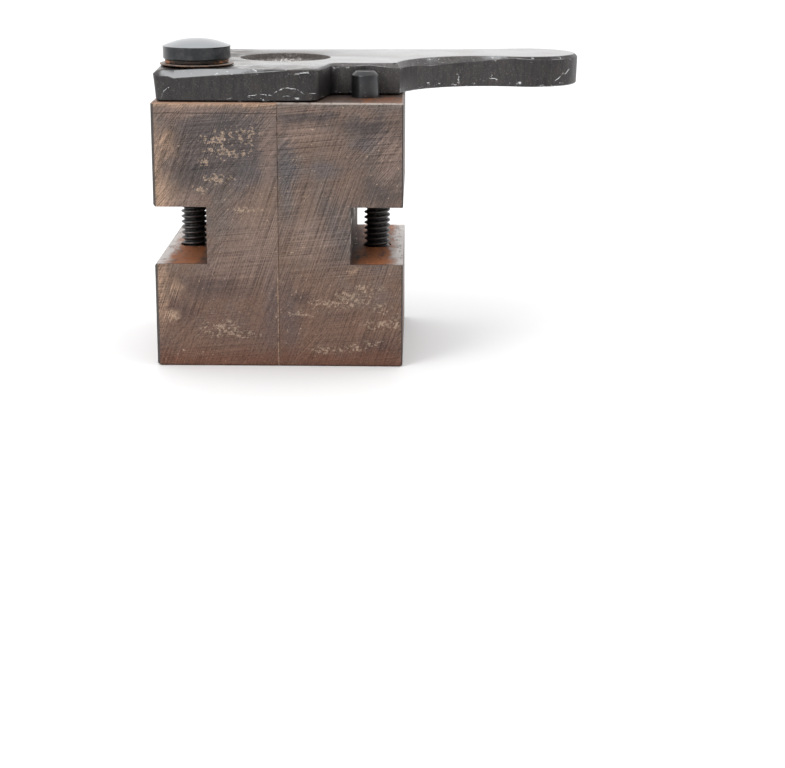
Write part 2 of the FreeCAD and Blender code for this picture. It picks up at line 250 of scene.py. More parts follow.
class Nodes:
    """A node tree, with short calls for the nodes that it is made of."""

    def __init__(self, tree):
        self.tree = tree
        self.where = self.node("ShaderNodeTexCoord")

    def node(self, kind, **settings):
        made = self.tree.nodes.new(kind)
        for key, value in settings.items():
            setattr(made, key, value)
        return made

    def link(self, source, target):
        """Connects a value, a colour or a socket, or sets a plain number or colour."""
        source = getattr(source, "socket", source)
        if isinstance(source, bpy.types.NodeSocket):
            self.tree.links.new(source, target)
        else:
            target.default_value = source

    def split(self, vector):
        made = self.node("ShaderNodeSeparateXYZ")
        self.link(vector, made.inputs[0])
        return [Value(self, socket) for socket in made.outputs]

    def join(self, x, y, z):
        made = self.node("ShaderNodeCombineXYZ")
        for value, socket in zip((x, y, z), made.inputs):
            self.link(value, socket)
        return made.outputs[0]

    def math(self, operation, first, second):
        made = self.node("ShaderNodeMath", operation=operation)
        self.link(first, made.inputs[0])
        self.link(second, made.inputs[1])
        return Value(self, made.outputs[0])

    def most(self, first, second):
        return self.math("MAXIMUM", first, second)

    def least(self, first, second):
        return self.math("MINIMUM", first, second)

    def distance(self, across, along):
        """The length of a line with the given two legs."""
        return self.math("SQRT", across * across + along * along, 0.0)

    def blend(self, share, first, second):
        """Between two colours, by share."""
        made = self.node("ShaderNodeMix", data_type="RGBA", clamp_factor=True)
        self.link(share, made.inputs["Factor"])
        first_in, second_in = [s for s in made.inputs if s.type == "RGBA"]
        self.link(first, first_in)
        self.link(second, second_in)
        return Colour(self, [s for s in made.outputs if s.type == "RGBA"][0])

    def brighten(self, colour, amount):
        """A colour multiplied by a number that may vary over the surface."""
        made = self.node("ShaderNodeVectorMath", operation="SCALE")
        self.link(colour if isinstance(colour, Colour) else colour[:3], made.inputs[0])
        self.link(amount, made.inputs["Scale"])
        return Colour(self, made.outputs[0])


class Surface(Nodes):
    """A procedural material. Places on it are in millimetres."""

    def __init__(self, name, metallic):
        self.material = bpy.data.materials.new(name)
        self.material.use_nodes = True
        super().__init__(self.material.node_tree)
        self.shader = self.tree.nodes["Principled BSDF"]
        self.shader.inputs["Metallic"].default_value = metallic
        scale = self.node("ShaderNodeVectorMath", operation="SCALE")
        scale.inputs["Scale"].default_value = 1 / MM
        self.link(self.where.outputs["Object"], scale.inputs[0])
        self.place = scale.outputs[0]
        self.x, self.y, self.z = self.split(self.place)
        self.nx, self.ny, self.nz = self.split(self.where.outputs["Normal"])

    def noise(self, scale, detail, rough, vector=None, offset=None):
        """Noise from 0 to 1, at scale per millimetre, on the surface's own place or a vector."""
        made = self.node("ShaderNodeTexNoise", noise_dimensions="3D")
        vector = self.place if vector is None else vector
        if offset:
            shifted = self.node("ShaderNodeVectorMath", operation="ADD")
            self.link(vector, shifted.inputs[0])
            shifted.inputs[1].default_value = offset
            vector = shifted.outputs[0]
        self.link(vector, made.inputs["Vector"])
        made.inputs["Scale"].default_value = scale
        made.inputs["Detail"].default_value = detail
        made.inputs["Roughness"].default_value = rough
        return Value(self, made.outputs["Fac"])

    def attribute(self, name):
        """A number that the mesh stores at its vertices."""
        made = self.node("ShaderNodeAttribute", attribute_type="GEOMETRY", attribute_name=name)
        return Value(self, made.outputs["Fac"])

    def flat_map(self):
        """Coordinates that lie flat on the nearest box face: along, up, and a layer number."""
        on_side = abs(self.nx) > FLAT_ENOUGH
        on_top = abs(self.nz) > FLAT_ENOUGH
        along = self.x * (1.0 - on_side) + self.y * on_side
        up = self.z * (1.0 - on_top) + self.y * on_top
        layer = on_side * 31.0 + on_top * 57.0 + self.ny * 11.0 + self.nx * 7.0
        return self.join(along, up, layer)

    def streaks(self, flat, degrees, length, width):
        """Fine lines along one direction of a flat map, as noise stretched to length by width."""
        turned_map = self.node("ShaderNodeVectorRotate", rotation_type="Z_AXIS")
        self.link(flat, turned_map.inputs["Vector"])
        turned_map.inputs["Angle"].default_value = math.radians(-degrees)
        stretch = self.node("ShaderNodeVectorMath", operation="MULTIPLY")
        self.link(turned_map.outputs[0], stretch.inputs[0])
        stretch.inputs[1].default_value = (1 / length, 1 / width, 1.0)
        return self.noise(1.0, 2.0, 0.6, stretch.outputs[0])

    def finish(self, colour, roughness, height=None, depth=0.0):
        """Sets the shader. height, from 0 to 1, bumps the surface over depth in millimetres."""
        self.link(colour, self.shader.inputs["Base Color"])
        self.link(roughness, self.shader.inputs["Roughness"])
        if height is not None:
            bump = self.node("ShaderNodeBump")
            self.link(height, bump.inputs["Height"])
            bump.inputs["Strength"].default_value = 1.0
            bump.inputs["Distance"].default_value = depth * MM
            self.link(bump.outputs[0], self.shader.inputs["Normal"])
        return self.material


def rgb(red, green, blue):
    return (red, green, blue, 1.0)


# ---------------------------------------------------------------------------------------
# Materials
# ---------------------------------------------------------------------------------------

PURPLE_GREY = rgb(0.105, 0.083, 0.077)
BLUE_GREY = rgb(0.084, 0.080, 0.088)
BROWN = rgb(0.158, 0.104, 0.078)
WARM_GREY = rgb(0.152, 0.124, 0.108)
DARK_PATINA = rgb(0.060, 0.050, 0.050)
REDDISH_GREY = rgb(0.215, 0.150, 0.122)
TAN = rgb(0.400, 0.265, 0.180)
PALE_STAIN = rgb(0.380, 0.280, 0.205)
RED_BROWN = rgb(0.140, 0.053, 0.028)
RUST = rgb(0.300, 0.100, 0.030)
DARK_RUST = rgb(0.045, 0.026, 0.019)
EDGE_SHADE = rgb(0.035, 0.032, 0.031)
SMOKE_AND_SHADE = rgb(0.030, 0.026, 0.026)
GROUND_FACE = rgb(0.330, 0.300, 0.275)
NICKED_STEEL = rgb(0.66, 0.67, 0.68)
BEVEL_STEEL = rgb(0.215, 0.218, 0.222)

# Patches on the front faces, each as (x, z, half width, half height) in millimetres.
LEFT_PATCHES = {
    "dark": [(-9.0, 34.5, 7.0, 4.0), (-12.0, 31.0, 4.5, 3.5), (-11.0, 12.3, 5.0, 1.7),
             (-15.0, 8.6, 2.4, 1.6)],
    "blue": [(-4.5, 37.6, 4.0, 1.6), (-4.5, 30.5, 2.6, 2.4), (-1.2, 9.5, 0.9, 5.0)],
    "brown": [(-3.0, 10.5, 3.0, 5.0), (-3.0, 24.0, 2.4, 4.0), (-9.0, 3.0, 9.0, 2.2)],
    "tan": [(-18.7, 31.0, 1.0, 6.0), (-18.3, 26.5, 2.2, 3.2), (-16.8, 34.8, 0.9, 2.0),
            (-18.0, 11.6, 0.9, 4.6), (-15.6, 12.4, 1.0, 1.0), (-14.6, 21.3, 3.0, 0.5),
            (-16.6, 8.0, 0.9, 0.7)],
    "warm": [(-3.2, 19.8, 4.0, 5.0), (-14.0, 25.8, 3.0, 1.2), (-7.0, 15.5, 5.0, 1.6),
             (-1.4, 34.0, 1.2, 5.0), (-13.0, 39.6, 6.0, 0.8)],
    "stain": [(-9.0, 35.4, 1.8, 1.1), (-7.6, 33.3, 2.6, 0.8), (-4.6, 35.8, 1.6, 1.1),
              (-11.3, 31.9, 1.0, 0.6), (-9.0, 29.2, 2.2, 0.7), (-11.6, 27.8, 1.0, 0.6),
              (-8.8, 6.2, 2.2, 0.8), (-7.6, 5.3, 3.8, 0.6), (-16.6, 7.8, 0.7, 0.6),
              (-5.0, 24.4, 2.6, 0.4)],
}
RIGHT_PATCHES = {
    "dark": [(13.5, 37.3, 4.0, 1.3), (16.0, 27.6, 2.6, 2.4), (5.0, 38.6, 4.5, 0.8),
             (3.5, 10.8, 1.8, 1.0), (15.5, 3.0, 3.0, 1.6)],
    "blue": [(1.4, 31.0, 1.0, 6.0), (7.5, 30.8, 2.4, 1.2), (1.6, 6.5, 1.0, 5.0),
             (14.0, 34.8, 3.0, 1.0)],
    "brown": [(5.5, 35.0, 3.0, 1.6), (4.5, 26.0, 1.6, 3.0), (9.8, 30.0, 2.6, 4.5),
              (6.0, 13.0, 3.5, 5.0), (17.5, 38.0, 1.5, 1.5), (10.0, 5.0, 7.0, 2.5)],
    "tan": [(11.6, 15.2, 0.8, 0.35)],
    "warm": [(5.0, 20.0, 3.0, 3.0), (17.0, 32.0, 2.0, 4.0), (4.0, 36.5, 3.5, 1.2)],
    "stain": [(7.6, 9.9, 2.4, 0.6), (10.9, 10.3, 3.0, 0.8), (13.6, 12.2, 2.0, 0.6),
              (10.6, 11.4, 1.6, 0.5), (15.8, 9.2, 1.2, 0.6), (3.0, 8.3, 2.0, 0.4),
              (15.2, 6.6, 2.0, 0.6), (18.0, 7.2, 0.8, 1.2), (12.8, 3.2, 1.8, 0.5),
              (7.0, 2.4, 1.6, 0.5), (9.6, 2.6, 1.0, 0.3), (14.4, 4.0, 1.4, 0.3)],
}


def patch_mask(s, x, z, patches, edge):
    """1 inside any of the patches and 0 away from them, with soft borders."""
    total = 0.0
    for centre_x, centre_z, half_width, half_height in patches:
        away = s.distance((x - centre_x) * (1 / half_width), (z - centre_z) * (1 / half_height))
        total = s.most(away.fade(1.0 + edge, 1.0 - edge), total)
    return total


def ground_hatch(s, flat):
    """Three crossing sets of grinding marks, each stronger in some places, around 0."""
    where_steep = s.noise(0.09, 2.0, 0.5, offset=(1, 33, 60)) + s.z.fade(28.0, 18.0) * 0.12
    where_level = s.noise(0.09, 2.0, 0.5, offset=(40, 7, 3))
    where_slanted = s.noise(0.08, 2.0, 0.5, offset=(9, 70, 31)) + s.z.fade(24.0, 32.0) * 0.12
    steep = s.streaks(flat, 71, 16.0, 0.15) - 0.5
    level = s.streaks(flat, 5, 14.0, 0.14) - 0.5
    slanted = s.streaks(flat, 47, 10.0, 0.14) - 0.5
    return (steep * (where_steep.fade(0.42, 0.66) * 0.8 + 0.55)
            + level * (where_level.fade(0.42, 0.6) * 0.7 + 0.40)
            + slanted * (where_slanted.fade(0.46, 0.66) * 0.8 + 0.25))


def slot_colours(s, rust, rust_grain, scraped, drawn_out):
    """Colours of the handle slots' floor and inner wall."""
    crumbs = s.noise(1.1, 4.0, 0.75, drawn_out, (70, 2, 8)).fade(0.54, 0.62)
    floor = rust.stained(rgb(0.40, 0.37, 0.35), scraped * 0.9)
    floor = floor.stained(rgb(0.070, 0.038, 0.026), crumbs * (scraped * 0.65 + 0.2))
    flakes = s.noise(1.3, 3.0, 0.7, drawn_out, (3, 61, 8)).fade(0.60, 0.66)
    flakes_here = s.most(scraped, s.y.fade(HANDLE_SCREW_Y - 4.0, HANDLE_SCREW_Y - 1.0))
    floor = floor.stained(rgb(0.50, 0.46, 0.43), flakes * flakes_here * 0.85)
    lip = (s.y + HALF_DEPTH + rust_grain * 0.8).fade(1.2, 0.6)
    floor = floor.stained(DARK_RUST, lip * 0.8)

    peeling = s.noise(1.0, 4.0, 0.65, s.join(s.x * 0.9, s.y * 0.10, s.z * 0.9))
    flaked = s.most((s.z + peeling * 5.0).fade(22.2, 24.0),
                    (s.y + peeling * 10.0).fade(-7.0, -11.0))
    wall = s.blend(crumbs * 0.5, DARK_RUST, PALE_STAIN)
    wall = wall.stained(rgb(0.50, 0.45, 0.41), flaked * peeling.fade(0.50, 0.60))
    return floor, wall


def block_iron(name, patches, left_end):
    """Ground iron with a brown patina, cross-hatched grinding marks, rust and wear."""
    s = Surface(name, metallic=0.45)
    flat = s.flat_map()
    facing = s.ny * -1.0 > FLAT_ENOUGH
    upward = s.nz > FLAT_ENOUGH
    side_distance = HALF_WIDTH - abs(s.x)
    cloud = s.noise(0.085, 4.0, 0.6)
    fine_cloud = s.noise(0.42, 5.0, 0.65)
    grain = s.noise(3.0, 2.0, 0.6)
    hatch = ground_hatch(s, flat)

    # The patches' borders wander a little, and the hatch breaks them up.
    wander_x = (s.noise(0.5, 5.0, 0.7) - 0.5) * 4.0 + hatch * 2.4
    wander_z = (s.noise(0.5, 5.0, 0.7, offset=(31, 5, 9)) - 0.5) * 3.0 + hatch * 1.6

    def patch(kind):
        return facing * patch_mask(s, s.x + wander_x, s.z + wander_z, patches[kind], 0.8)

    colour = s.blend(cloud.fade(0.36, 0.64), PURPLE_GREY, BROWN)
    colour = colour.stained(WARM_GREY, fine_cloud.fade(0.42, 0.75) * 0.65)
    colour = colour.stained(BROWN, patch("brown") * 0.7)
    colour = colour.stained(BLUE_GREY, patch("blue") * 0.55)
    colour = colour.stained(DARK_PATINA, patch("dark") * 0.8)
    colour = colour.stained(REDDISH_GREY, patch("warm") * 0.6)
    # Redder towards the bottom: partly rust, partly a painted warm light bounced up from below.
    low_rust_and_warm_bounce = ((s.z + fine_cloud * 6.0).fade(26.0, 6.0) * 0.36
                + (s.z + fine_cloud * 4.0).fade(6.0, 2.0) * 0.45)
    colour = colour.stained(RED_BROWN, low_rust_and_warm_bounce * (facing * 0.45 + 0.55))
    colour = colour.stained(TAN, patch("tan") * (hatch * 0.8 + 0.45 + fine_cloud * 0.25))
    top_wear = facing * (BLOCK_HEIGHT - s.z + fine_cloud * 1.4).fade(1.8, 0.8)
    colour = colour.stained(TAN if left_end else WARM_GREY, top_wear * 0.75)

    # A stain is a cluster of dots that run together towards its middle.
    blobs = s.noise(2.5, 2.0, 0.6, s.join(s.x * 0.8, s.y, s.z))
    cluster = patch_mask(s, s.x + wander_x * 0.5, s.z + wander_z * 0.3, patches["stain"], 0.95)
    stain = facing * (blobs + cluster * 0.16).fade(0.61, 0.70) * cluster.fade(0.0, 0.2)
    dots = s.noise(2.6, 1.0, 0.5, offset=(17, 5, 60)).fade(0.70, 0.78)
    dots_here = s.noise(0.16, 2.0, 0.5, offset=(5, 50, 90)).fade(0.42, 0.58)
    specks = s.noise(5.5, 1.0, 0.5, offset=(7, 25, 6)).fade(0.66, 0.76)
    for share in (stain * 0.66, dots * dots_here * 0.7, specks * 0.35):
        colour = colour.stained(PALE_STAIN, share)

    hatch_depth = s.z.fade(5.0, 17.0) * 0.8 + 1.5
    colour = colour.shaded(s.most(hatch * hatch_depth + 1.0 + (grain - 0.5), 0.35))
    step_height = abs(s.z - STEP_LINE_Z + fine_cloud * 0.25)
    step_line = facing * (s.x < 0.0) * step_height.fade(0.14, 0.05)
    colour = colour.shaded(1.0 - step_line * 0.5)
    # A painted highlight: a pale line beside the seam, low on the front faces.
    seam_highlight = (facing * abs(s.x + SEAM_HIGHLIGHT_OFFSET).fade(0.13, 0.05) * s.z.fade(18.0, 13.0)
                  * grain.fade(0.35, 0.55))
    colour = colour.stained(TAN, seam_highlight * 0.6)

    # Rust in the slots lies in scales drawn out along the slot.
    in_slot = ((abs(s.x) > SLOT_WALL_X - 0.05) * (s.z > SLOT_FLOOR - 0.05)
               * (s.z < SLOT_CEILING + 0.05) * (abs(s.ny) < FLAT_ENOUGH))
    drawn_out = s.join(s.x, s.y * 0.3, s.z)
    rust_grain = s.noise(0.8, 5.0, 0.7, drawn_out)
    # Painted shade: the rust darkens towards the slots' inner walls, where the corner is shaded.
    corner_shade = (abs(s.x) - SLOT_WALL_X + rust_grain * 2.0).fade(3.6, 1.0)
    rust = s.blend(rust_grain.fade(0.30, 0.50), DARK_RUST, RUST)
    rust = rust.stained(rgb(0.020, 0.014, 0.012), corner_shade * 0.8)
    scraped = (side_distance + rust_grain * 4.0).fade(4.6, 2.8)
    slot_floor, slot_wall = slot_colours(s, rust, rust_grain, scraped, drawn_out)
    colour = colour.stained(slot_floor, in_slot * upward)
    colour = colour.stained(slot_wall, in_slot * (1.0 - upward))

    # The plate rubs rings round its pivot on the top face.
    from_pivot = s.distance(s.x - PIVOT.x, s.y - PIVOT.y)
    rubbed = s.noise(1.0, 3.0, 0.6, s.join(from_pivot * 3.2, s.x * 0.06, 2.0))
    top = s.blend(rubbed.fade(0.4, 0.66), rust.stained(DARK_RUST, 0.5), rgb(0.085, 0.052, 0.038))
    # Painted shade: a dark band on the top along the plate's notch wall.
    top = top.stained(SMOKE_AND_SHADE, (s.y + fine_cloud * 2.5).fade(-9.6, -7.6) * 0.7)
    colour = colour.stained(top, upward * (s.z > BLOCK_HEIGHT - 0.1))

    draw_marks = s.streaks(flat, 88, 20.0, 0.12)
    edge_near = s.least(HALF_DEPTH - abs(s.y), s.z)
    parting = s.brighten(GROUND_FACE, draw_marks * 0.5 + 0.75)
    parting = parting.stained(BROWN, (edge_near + fine_cloud * 6.0).fade(6.5, 3.0))
    colour = colour.stained(parting, abs(s.x) < ON_SEAM)
    from_cavity = s.distance(s.x, s.y - FUNNEL_Y)
    in_cavity = ((from_cavity < CAVITY_REACH) * (s.z > CAVITY_BOTTOM) * (abs(s.x) > ON_SEAM)
                 * (s.nz < 0.99))
    colour = colour.stained(SMOKE_AND_SHADE, in_cavity * 0.85)

    # The broken edges: bright along the top, dark at the slots' mouths and up the corners.
    flattest = s.most(s.most(abs(s.nx), abs(s.ny)), abs(s.nz))
    slanting = (flattest < 0.85) * (from_cavity > CAVITY_REACH + 0.4)
    # Upward broken edges are lighter: partly worn bare metal, partly a painted highlight from
    # above.
    upper_edge = slanting * (s.nz > 0.3)
    shine_break = s.noise(0.9, 4.0, 0.7, offset=(8, 8, 80)).fade(0.36, 0.52)
    rim_colour = rgb(0.28, 0.17, 0.11) if left_end else rgb(0.31, 0.27, 0.24)
    colour = colour.stained(rim_colour, upper_edge * (shine_break * 0.7 + 0.1))
    slot_mouth = upper_edge * abs(s.z - SLOT_FLOOR).fade(0.6, 0.4)
    colour = colour.stained(DARK_RUST, slot_mouth * 0.9)
    # Painted shade darkens the upright broken edges up the corners.
    upright_edge = slanting * (abs(s.nz) < 0.3) * (abs(s.x) > 5.0)
    colour = colour.stained(EDGE_SHADE, upright_edge * 0.9)

    roughness = ((fine_cloud - 0.5) * 0.3 + 0.50 + in_slot * (scraped * -0.30 + 0.15)
                 + stain * 0.15 + upper_edge * -0.1)
    pits = s.noise(3.4, 2.0, 0.5, offset=(1, 2, 33)).fade(0.7, 0.62)
    height = (hatch * 0.5 + pits * 0.3 + stain * 0.12 + rust_grain * in_slot * 1.2
              + fine_cloud * 0.3 + grain * 0.2)
    return s.finish(colour, roughness, height, 0.05)


# Scratches on the plate's front wall: centre x, centre height above the plate's underside,
# radius, half thickness, and the first and last x.
WALL_SCRATCHES = [
    (1.8, -1.3, 3.35, 0.050, -0.2, 3.9),
    (1.5, -0.7, 1.60, 0.030, 1.0, 1.9),
    (-2.4, -8.9, 9.95, 0.045, -4.2, -0.8),
    (5.2, -6.0, 7.20, 0.035, 4.4, 5.8),
    (-15.5, 0.4, 1.80, 0.028, -17.2, -16.0),
    (5.5, -4.0, 8.50, 0.050, 2.6, 5.0),
    (3.8, -5.0, 9.35, 0.035, 3.6, 5.2),
]

# Nicks on the handle's front wall: x, height above the underside, half width, half height.
HANDLE_NICKS = [(27.7, 1.2, 0.08, 0.60), (27.5, 2.1, 0.14, 0.06), (33.2, 1.3, 0.45, 0.07),
                (33.1, 1.7, 0.06, 0.20), (33.9, 1.2, 0.12, 0.10), (37.6, 0.6, 0.20, 0.16),
                (22.8, 0.9, 0.25, 0.07), (24.6, 0.7, 0.16, 0.06)]
HANDLE_START_X = 20.0

# Slanting nicks near the handle's tip: x, height where the slope meets TIP_X, and half sizes.
TIP_X = 43.8
TIP_SLOPE = 0.75
TIP_NICKS = [(43.8, 1.25, 0.50, 0.08), (45.3, 1.10, 0.32, 0.07), (44.6, 1.45, 0.15, 0.05)]


def wall_scratches(s, above, break_up):
    """Thin bright arcs on the plate's front wall."""
    total = 0.0
    wobbly = above + (break_up - 0.5) * 0.5
    for centre_x, centre_z, radius, half, first, last in WALL_SCRATCHES:
        dz = wobbly - centre_z
        away = abs(s.distance(s.x - centre_x, dz) - radius)
        line = (away.fade(half * 1.6, half * 0.5) * (dz > 0.0)
                * s.x.fade(first - 0.3, first + 0.3) * s.x.fade(last + 0.3, last - 0.3))
        total = s.most(line, total)
    gaps = s.noise(2.2, 3.0, 0.7, offset=(9, 9, 9)).fade(0.44, 0.54)
    return total * (s.y < PLATE_FRONT + 1.0) * gaps


def plate_nicks(s, wall, above, pebble, mottled, break_up):
    """Bright nicks along the wall's edges and on the handle, and the front wall's scratches."""
    nick_line = s.noise(1.0, 3.0, 0.7, s.join(s.x * 0.8, s.y * 0.8, s.z * 2.2))
    along_edges = s.most(above.fade(1.1, 0.2) * s.x.fade(-12.0, -4.0), above.fade(3.7, 4.4) * 0.8)
    near_x = s.x + (pebble - 0.5) * 0.9
    near_height = above + (mottled - 0.5) * 0.7
    slope = (s.x - TIP_X) * TIP_SLOPE
    on_handle = s.most(patch_mask(s, near_x, near_height, HANDLE_NICKS, 0.4),
                       patch_mask(s, near_x, near_height - slope, TIP_NICKS, 0.4))
    nick = s.most(nick_line.fade(0.62, 0.68) * along_edges, wall_scratches(s, above, break_up))
    front_of_handle = (s.x > HANDLE_START_X) * s.y.fade(12.0, 11.0)
    return wall * s.most(nick, on_handle * front_of_handle)


def plate_steel():
    """Black blued plate: glossy top, pebbled walls, worn bevels, brown tint and bright nicks."""
    s = Surface("plate_blued_steel", metallic=0.92)
    upward = s.nz.fade(0.8, 0.96)
    wall = 1.0 - upward
    above = s.z - PLATE_BOTTOM
    cloud = s.noise(0.11, 4.0, 0.6)
    mottled = s.noise(0.9, 4.0, 0.65)
    pebble = s.noise(4.2, 3.0, 0.65)
    stripes = s.noise(1.0, 3.0, 0.6, s.join(s.x * 2.0, s.y * 2.0, s.z * 0.3))

    # The top is browner and duller towards the washers and along the front.
    brown_end = s.x.fade(2.0, -17.0)
    top = s.blend((cloud + brown_end * 0.16).fade(0.42, 0.66), rgb(0.112, 0.111, 0.114),
                  rgb(0.095, 0.080, 0.072))
    handled = s.y.fade(-8.0, -15.0) * s.x.fade(16.0, 4.0)
    near_washers = (s.x + cloud * 6.0).fade(1.0, -7.0)
    dulled = (s.most(handled * 0.85, near_washers * 0.9)
              * s.noise(0.3, 5.0, 0.65, offset=(2, 2, 5)).fade(0.34, 0.6))
    top = top.stained(rgb(0.060, 0.050, 0.046), dulled)
    specks = upward * (
        s.noise(2.4, 2.0, 0.6, offset=(4, 4, 44)) + brown_end * 0.06).fade(0.70, 0.78)
    top = top.stained(rgb(0.09, 0.045, 0.03), specks * 0.8)

    # The walls catch more light beside the stop pin and less at the handle's tip.
    side = s.blend(stripes.fade(0.30, 0.70), rgb(0.043, 0.041, 0.042), rgb(0.060, 0.056, 0.055))
    side = side.stained(rgb(0.085, 0.068, 0.060), mottled.fade(0.52, 0.75) * 0.5)
    side = side.stained(rgb(0.150, 0.140, 0.135), pebble.fade(0.54, 0.72) * 0.6)
    side = side.shaded(s.x.fade(6.0, 9.0) * 0.4 + 1.0 + s.x.fade(34.0, 40.0) * -0.25
                       + s.x.fade(5.0, 7.5) * s.x.fade(21.0, 17.0) * 0.3)
    colour = s.blend(upward, side, top)

    # Above 0, "bright" gives the bevel wear and painted highlights; below 0, dark oxide.
    worn = s.attribute("bright")
    break_up = s.noise(1.3, 3.0, 0.6, offset=(12, 3, 70))
    bevel_wear_and_highlight = (worn + (break_up - 0.5) * 0.8).fade(0.12, 0.85) * (worn > 0.02)
    colour = colour.shaded(1.0 - worn.fade(0.0, -0.6) * 0.6)
    colour = colour.stained(BEVEL_STEEL, bevel_wear_and_highlight)
    nick = plate_nicks(s, wall, above, pebble, mottled, break_up)
    colour = colour.stained(NICKED_STEEL, nick * 0.95)

    in_funnel = ((s.distance(s.x, s.y - FUNNEL_Y) < FUNNEL_RADIUS + 0.04)
                 * (s.z < PLATE_TOP - 0.02))
    residue = s.noise(1.7, 4.0, 0.75, offset=(6, 60, 6)).fade(0.44, 0.64)
    # A painted highlight: the pale residue is stronger towards the funnel's middle.
    centre_highlight = abs(s.x).fade(3.4, 0.6)
    funnel = s.blend(residue * (centre_highlight * 0.55 + 0.45), rgb(0.210, 0.196, 0.184),
                     rgb(0.82, 0.79, 0.77))
    upper_band = (s.z + mottled * 0.6).fade(PLATE_TOP - 0.9, PLATE_TOP - 0.3)
    funnel = funnel.stained(rgb(0.035, 0.026, 0.022), upper_band * 0.85)
    colour = colour.stained(funnel, in_funnel)

    roughness = (upward * (cloud * 0.10 + 0.17 + dulled * 0.30) + wall * (mottled * 0.18 + 0.36)
                 + in_funnel * 0.25 + nick * -0.12 + bevel_wear_and_highlight * -0.08)
    height = (wall * stripes * 0.25 + wall * pebble * 0.7 + mottled * 0.35 * (wall + 0.2)
              + nick * -0.8 + in_funnel * residue * 1.2 + specks * -0.5)
    return s.finish(colour, roughness, height, 0.05)


def blued_steel():
    """Satin blued steel of the turned parts, with faint turning marks."""
    s = Surface("blued_turned_steel", metallic=0.92)
    s.shader.inputs["Coat Weight"].default_value = 0.35
    s.shader.inputs["Coat Roughness"].default_value = 0.15
    mottled = s.noise(0.7, 4.0, 0.6)
    turning = s.noise(1.0, 2.0, 0.5, s.join(s.x * 0.2, s.y * 0.2, s.z * 7.0))
    # A painted reflection: the pivot screw's dome is lighter, less so towards the back and left.
    behind = s.y - PIVOT.y + (PIVOT.x - s.x) * 0.35
    dome_reflection = s.nz.fade(0.6, 0.85) * (s.z > PLATE_TOP + 2.0) * (behind.fade(2.4, 1.2) * 0.55 + 0.45)
    colour = s.blend(mottled.fade(0.35, 0.7), rgb(0.022, 0.024, 0.027), rgb(0.050, 0.050, 0.052))
    colour = colour.stained(rgb(0.255, 0.268, 0.282), dome_reflection * 0.85)
    pin = s.x > 0.0
    colour = colour.stained(rgb(0.075, 0.076, 0.078), pin * 0.5)
    colour = colour.shaded(1.0 - pin * s.nz.fade(0.3, 0.6) * 0.6)
    scuff = pin * s.noise(1.7, 3.0, 0.7, offset=(50, 3, 1)).fade(0.64, 0.72)
    colour = colour.stained(rgb(0.34, 0.34, 0.34), scuff * 0.7)
    return s.finish(colour, mottled * 0.16 + 0.26,
                    turning * 0.5 + mottled * 0.3 + scuff * -0.3, 0.02)


def rusty_steel():
    """Washers with a dark brown rust, orange in places and rubbed pale on top."""
    s = Surface("rusty_washer_steel", metallic=0.45)
    grain = s.noise(1.3, 5.0, 0.7)
    upper = s.z > SPRING_WASHER_LOW
    colour = s.blend(grain.fade(0.36, 0.64), rgb(0.030, 0.020, 0.016), rgb(0.105, 0.058, 0.038))
    # Painted shadow darkens the spring washer under the head; the flat washer is lightened.
    colour = colour.shaded(1.9 - upper * 1.6)
    # The orange rust shows only at the spring washer's ends, out of the painted shadow.
    orange = (abs(s.x - PIVOT.x).fade(2.6, 4.0)
              * s.noise(1.5, 3.0, 0.6, offset=(1, 44, 1)).fade(0.44, 0.58) * upper)
    colour = colour.stained(rgb(0.34, 0.13, 0.045), orange * 0.85)
    rubbed = s.nz.fade(0.5, 0.9) * s.noise(0.8, 3.0, 0.6).fade(0.30, 0.5)
    colour = colour.stained(rgb(0.290, 0.250, 0.222), rubbed * 0.85)
    return s.finish(colour, grain * 0.35 + 0.40, grain, 0.06)


def black_oxide():
    """Dull black screws with lighter thread crests, partly wear and partly a painted highlight.
    """
    s = Surface("black_oxide_screw", metallic=0.8)
    grain = s.noise(2.2, 4.0, 0.65)
    colour = s.blend(grain.fade(0.4, 0.7), rgb(0.024, 0.023, 0.023), rgb(0.070, 0.066, 0.064))
    # Partly wear, partly a painted highlight: lighter away from the axis, on the crests.
    crest = s.distance(abs(s.x) - HANDLE_SCREW_X, s.y - HANDLE_SCREW_Y).fade(1.95, 2.07)
    colour = colour.stained(rgb(0.17, 0.16, 0.155), crest * 0.55)
    return s.finish(colour, grain * 0.3 + 0.28, grain, 0.02)


def ground_steel():
    """Bright ground guide pins."""
    s = Surface("ground_pin_steel", metallic=0.95)
    along = s.noise(1.0, 3.0, 0.6, s.join(s.x * 7.0, s.y * 0.3, s.z * 0.3))
    colour = s.blend(along.fade(0.3, 0.7), rgb(0.36, 0.35, 0.33), rgb(0.55, 0.54, 0.52))
    return s.finish(colour, along * 0.15 + 0.22, along, 0.01)


# ---------------------------------------------------------------------------------------
# Sprue plate
# ---------------------------------------------------------------------------------------

PLATE_LEFT = -18.7
PLATE_BACK_LEFT = 16.8
NOSE_X = 6.0
NOTCH_INNER_X = 7.9
NOTCH_WALL_Y = -6.8
WAIST_CENTRE = Vector((32.6, -8.5))
WAIST_RADIUS = 14.3
THUMB_RADIUS = 8.2
THUMB_BEARING = math.radians(73.1)
BACK_BEND = Vector((28.0, 19.2))
THROAT_RADIUS = 2.4
THROAT_HEIGHT = 0.8
PIVOT_HOLE_RADIUS = 3.05
OUTLINE_STEP = 0.45
ROUGHNESS_SCALE = 0.55
DIP_DEPTH = 0.3
DIP_REACH = 3.5


